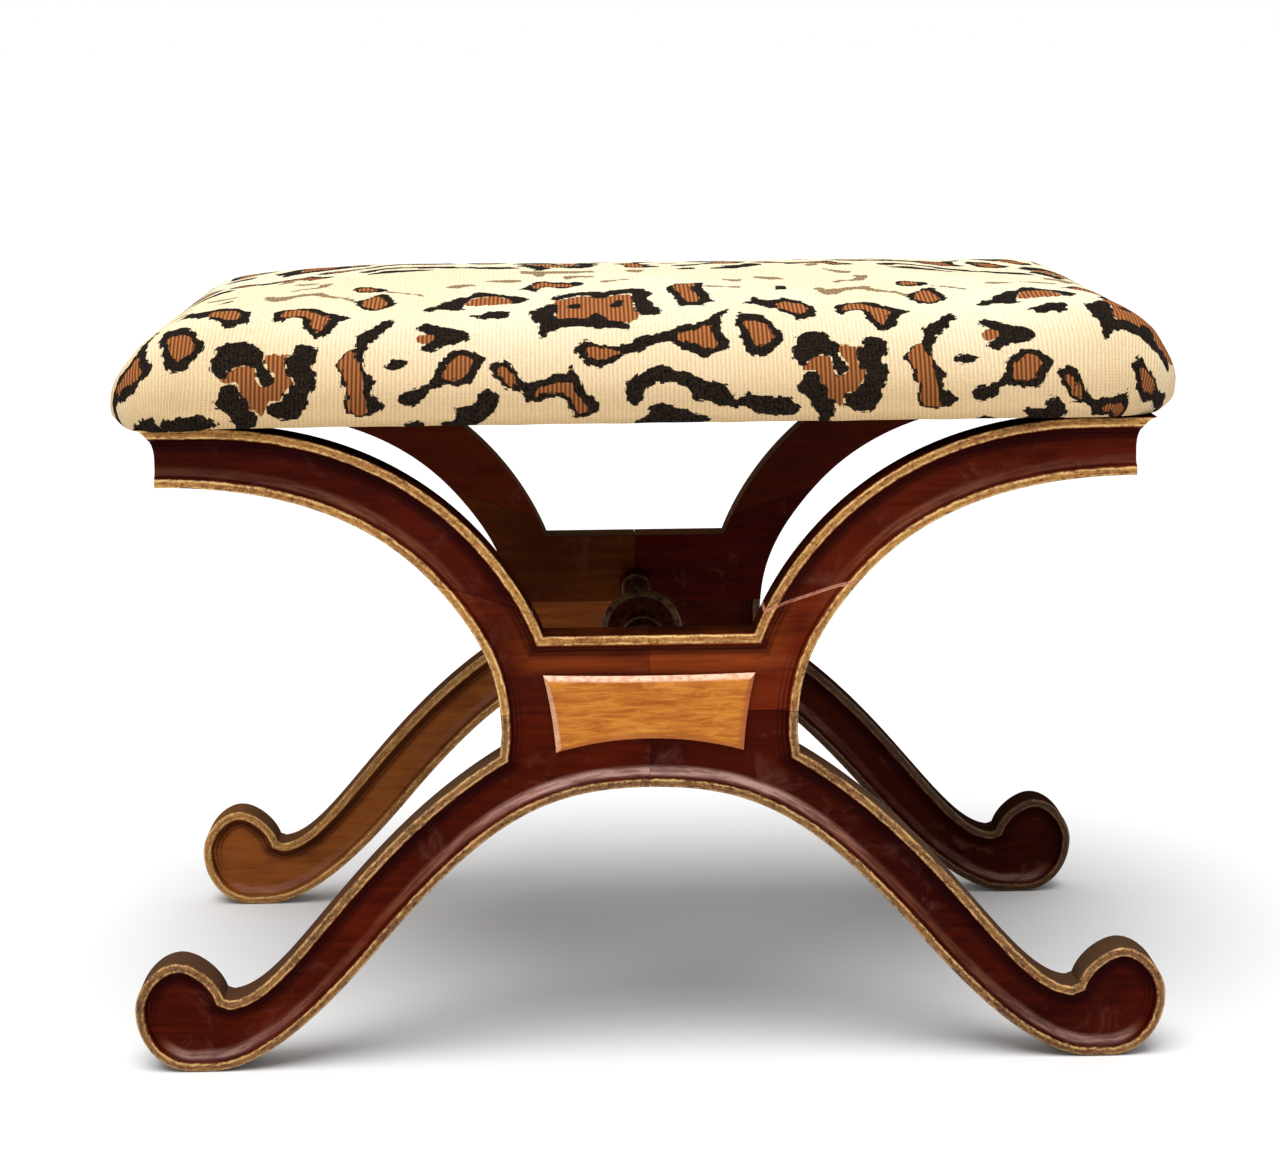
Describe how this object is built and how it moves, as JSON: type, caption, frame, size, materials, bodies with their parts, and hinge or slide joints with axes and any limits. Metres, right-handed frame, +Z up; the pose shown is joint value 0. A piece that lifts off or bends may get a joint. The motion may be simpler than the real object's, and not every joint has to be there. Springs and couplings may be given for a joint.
{
  "type": "curule bench",
  "caption": "Upholstered bench on crossed, scrolled, moulded frames with gilt tablets, joined by a turned stretcher and side rails.",
  "frame": {"origin": "on the floor, under the middle of the bench", "axes": "+X along the bench to the right as seen from its front, +Y from its front to its back, +Z up"},
  "size_m": [0.6688, 0.4242, 0.5039],
  "materials": {
    "mahogany": "glossy dark red-brown polish, parcel gilt along the mouldings",
    "gilt": "worn gilding over wood",
    "beech": "unfinished",
    "dowel_beech": "unfinished, glued",
    "plywood": "unfinished",
    "foam": "soft open-cell filling",
    "woven_cloth": "ribbed woven cloth, cream with a rust and black figure",
    "black_cambric": "thin matte lining",
    "steel": "plain"
  },
  "bodies": {
    "root": {"front_arm_left": "mahogany", "front_arm_right": "mahogany", "front_hub_left": "mahogany", "front_hub_right": "mahogany", "front_leg_left": "mahogany", "front_leg_right": "mahogany", "back_arm_left": "mahogany", "back_arm_right": "mahogany", "back_hub_left": "mahogany", "back_hub_right": "mahogany", "back_leg_left": "mahogany", "back_leg_right": "mahogany", "front_tablet": "gilt", "back_tablet": "gilt", "stretcher": "mahogany", "side_rail_left": "mahogany", "side_rail_right": "mahogany", "corner_block_front_left": "beech", "corner_block_front_right": "beech", "corner_block_back_left": "beech", "corner_block_back_right": "beech", "hub_dowel_front_left_1": "dowel_beech", "hub_dowel_front_left_2": "dowel_beech", "hub_dowel_front_right_1": "dowel_beech", "hub_dowel_front_right_2": "dowel_beech", "hub_dowel_back_left_1": "dowel_beech", "hub_dowel_back_left_2": "dowel_beech", "hub_dowel_back_right_1": "dowel_beech", "hub_dowel_back_right_2": "dowel_beech", "cross_dowel_front_upper": "dowel_beech", "cross_dowel_front_lower": "dowel_beech", "cross_dowel_back_upper": "dowel_beech", "cross_dowel_back_lower": "dowel_beech", "rail_dowel_front_left_1": "dowel_beech", "rail_dowel_front_left_2": "dowel_beech", "rail_dowel_front_right_1": "dowel_beech", "rail_dowel_front_right_2": "dowel_beech", "rail_dowel_back_left_1": "dowel_beech", "rail_dowel_back_left_2": "dowel_beech", "rail_dowel_back_right_1": "dowel_beech", "rail_dowel_back_right_2": "dowel_beech", "arm_screw_front_left": "steel", "arm_screw_front_right": "steel", "arm_screw_back_left": "steel", "arm_screw_back_right": "steel", "rail_screw_front_left": "steel", "rail_screw_front_right": "steel", "rail_screw_back_left": "steel", "rail_screw_back_right": "steel", "seat_screw_front_left": "steel", "seat_screw_front_right": "steel", "seat_screw_back_left": "steel", "seat_screw_back_right": "steel", "seat_board": "plywood", "seat_pad": "foam", "seat_cover": "woven_cloth", "dust_cover": "black_cambric"}
  },
  "joints": []
}
